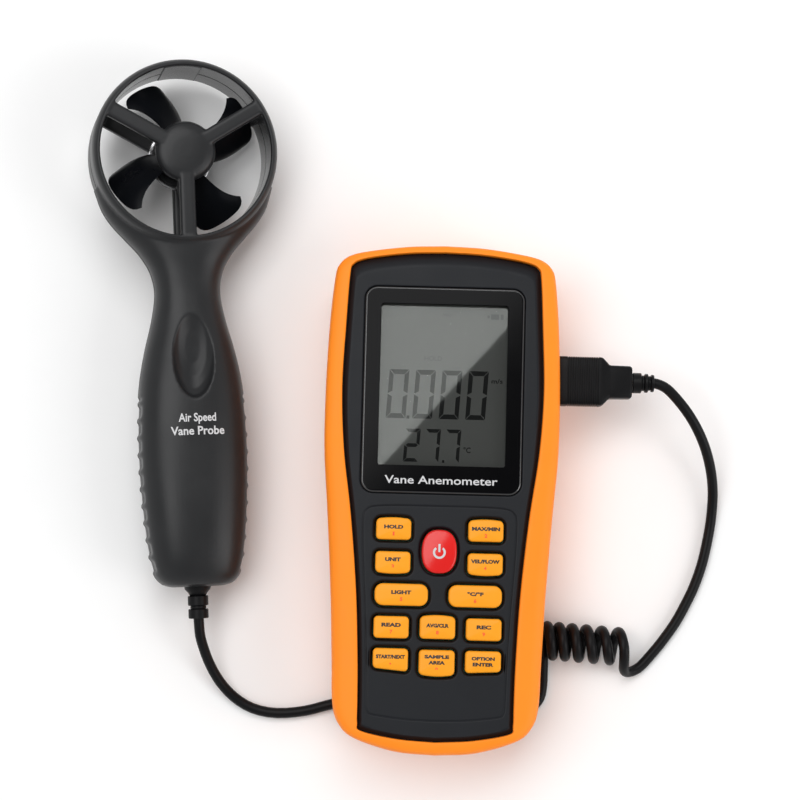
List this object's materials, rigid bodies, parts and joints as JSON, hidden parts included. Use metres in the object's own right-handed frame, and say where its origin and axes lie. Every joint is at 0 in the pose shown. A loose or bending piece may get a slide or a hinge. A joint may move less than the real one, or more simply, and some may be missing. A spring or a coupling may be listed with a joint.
{
  "type": "vane anemometer",
  "caption": "Hand-held air-flow meter in a rubber boot with a display and keypad, and a corded vane probe: a ring-shaped duct with an impeller on a ribbed handle.",
  "frame": {"origin": "on the flat back of the meter's boot, midway along the meter", "axes": "+X towards the meter's plug side, +Y towards the meter's display end, +Z out of the display; the probe lies at -X on the same surface"},
  "size_m": [0.2124, 0.2246, 0.036],
  "materials": {
    "boot_rubber": "matte, slightly soft",
    "case_plastic": "satin",
    "window": "gloss",
    "lcd": "gloss",
    "backlight": "matte",
    "key_rubber": "matte",
    "power_key": "semi-gloss",
    "mat_rubber": "matte",
    "circuit_board": "satin",
    "chip": "satin",
    "metal": "brushed",
    "battery": "satin",
    "probe_plastic": "satin",
    "impeller": "semi-gloss",
    "sensor_ring": "satin",
    "cord": "satin",
    "insert": "matte"
  },
  "bodies": {
    "meter_and_probe": {"boot": "boot_rubber", "front_case": "case_plastic", "rear_case": "case_plastic", "lcd_window": "window", "lcd_panel": "lcd", "lcd_backlight": "backlight", "keypad_mat": "mat_rubber", "main_pcb": "circuit_board", "main_chip": "chip", "buzzer": "chip", "battery_9v": "battery", "battery_snap": "chip", "case_screw_1": "metal", "case_screw_2": "metal", "case_screw_3": "metal", "case_screw_4": "metal", "usb_socket": "metal", "usb_tongue": "insert", "probe_front_shell": "probe_plastic", "probe_rear_shell": "probe_plastic", "front_bearing": "metal", "rear_bearing": "metal", "sensor_ring": "sensor_ring", "duct_sensor": "sensor_ring", "probe_pcb": "circuit_board", "probe_screw_1": "metal", "probe_screw_2": "metal", "probe_screw_3": "metal", "probe_relief": "cord", "cord_probe_side": "cord", "cord_coil": "cord", "cord_plug_side": "cord"},
    "key_hold": {"key_hold": "key_rubber"},
    "key_max_min": {"key_max_min": "key_rubber"},
    "key_unit": {"key_unit": "key_rubber"},
    "key_vel_flow": {"key_vel_flow": "key_rubber"},
    "key_light": {"key_light": "key_rubber"},
    "key_c_f": {"key_c_f": "key_rubber"},
    "key_read": {"key_read": "key_rubber"},
    "key_avg_clear": {"key_avg_clear": "key_rubber"},
    "key_rec": {"key_rec": "key_rubber"},
    "key_start_next": {"key_start_next": "key_rubber"},
    "key_sample_area": {"key_sample_area": "key_rubber"},
    "key_option_enter": {"key_option_enter": "key_rubber"},
    "key_power": {"key_power": "power_key"},
    "battery_door": {"battery_door": "case_plastic"},
    "usb_plug": {"plug_overmould": "cord", "plug_shell": "metal", "plug_insert": "insert", "plug_relief": "cord"},
    "impeller": {"impeller": "impeller", "impeller_axle": "metal"}
  },
  "joints": [
    {"name": "key_hold_press", "type": "slide", "parent": "meter_and_probe", "child": "key_hold", "axis": [0, 0, -1], "range_m": [0, 0.0011], "stiffness_N_per_m": 1000, "springref_m": -0.0003},
    {"name": "key_max_min_press", "type": "slide", "parent": "meter_and_probe", "child": "key_max_min", "axis": [0, 0, -1], "range_m": [0, 0.0011], "stiffness_N_per_m": 1000, "springref_m": -0.0003},
    {"name": "key_unit_press", "type": "slide", "parent": "meter_and_probe", "child": "key_unit", "axis": [0, 0, -1], "range_m": [0, 0.0011], "stiffness_N_per_m": 1000, "springref_m": -0.0003},
    {"name": "key_vel_flow_press", "type": "slide", "parent": "meter_and_probe", "child": "key_vel_flow", "axis": [0, 0, -1], "range_m": [0, 0.0011], "stiffness_N_per_m": 1000, "springref_m": -0.0003},
    {"name": "key_light_press", "type": "slide", "parent": "meter_and_probe", "child": "key_light", "axis": [0, 0, -1], "range_m": [0, 0.0011], "stiffness_N_per_m": 1000, "springref_m": -0.0003},
    {"name": "key_c_f_press", "type": "slide", "parent": "meter_and_probe", "child": "key_c_f", "axis": [0, 0, -1], "range_m": [0, 0.0011], "stiffness_N_per_m": 1000, "springref_m": -0.0003},
    {"name": "key_read_press", "type": "slide", "parent": "meter_and_probe", "child": "key_read", "axis": [0, 0, -1], "range_m": [0, 0.0011], "stiffness_N_per_m": 1000, "springref_m": -0.0003},
    {"name": "key_avg_clear_press", "type": "slide", "parent": "meter_and_probe", "child": "key_avg_clear", "axis": [0, 0, -1], "range_m": [0, 0.0011], "stiffness_N_per_m": 1000, "springref_m": -0.0003},
    {"name": "key_rec_press", "type": "slide", "parent": "meter_and_probe", "child": "key_rec", "axis": [0, 0, -1], "range_m": [0, 0.0011], "stiffness_N_per_m": 1000, "springref_m": -0.0003},
    {"name": "key_start_next_press", "type": "slide", "parent": "meter_and_probe", "child": "key_start_next", "axis": [0, 0, -1], "range_m": [0, 0.0011], "stiffness_N_per_m": 1000, "springref_m": -0.0003},
    {"name": "key_sample_area_press", "type": "slide", "parent": "meter_and_probe", "child": "key_sample_area", "axis": [0, 0, -1], "range_m": [0, 0.0011], "stiffness_N_per_m": 1000, "springref_m": -0.0003},
    {"name": "key_option_enter_press", "type": "slide", "parent": "meter_and_probe", "child": "key_option_enter", "axis": [0, 0, -1], "range_m": [0, 0.0011], "stiffness_N_per_m": 1000, "springref_m": -0.0003},
    {"name": "key_power_press", "type": "slide", "parent": "meter_and_probe", "child": "key_power", "axis": [0, 0, -1], "range_m": [0, 0.0011], "stiffness_N_per_m": 1000, "springref_m": -0.0003},
    {"name": "battery_door_swing", "type": "hinge", "parent": "meter_and_probe", "child": "battery_door", "pos_m": [0, 0.006, 0.0025], "axis": [-1, 0, 0], "range_deg": [0, 80]},
    {"name": "usb_plug_pull", "type": "slide", "parent": "meter_and_probe", "child": "usb_plug", "axis": [1, 0, 0], "range_m": [0, 0.012], "deforming": ["cord_plug_side"]},
    {"name": "impeller_spin", "type": "hinge", "parent": "meter_and_probe", "child": "impeller", "pos_m": [-0.088, 0.112, 0.01802], "axis": [0.2011, -0.0192, 0.9794], "continuous": true}
  ]
}
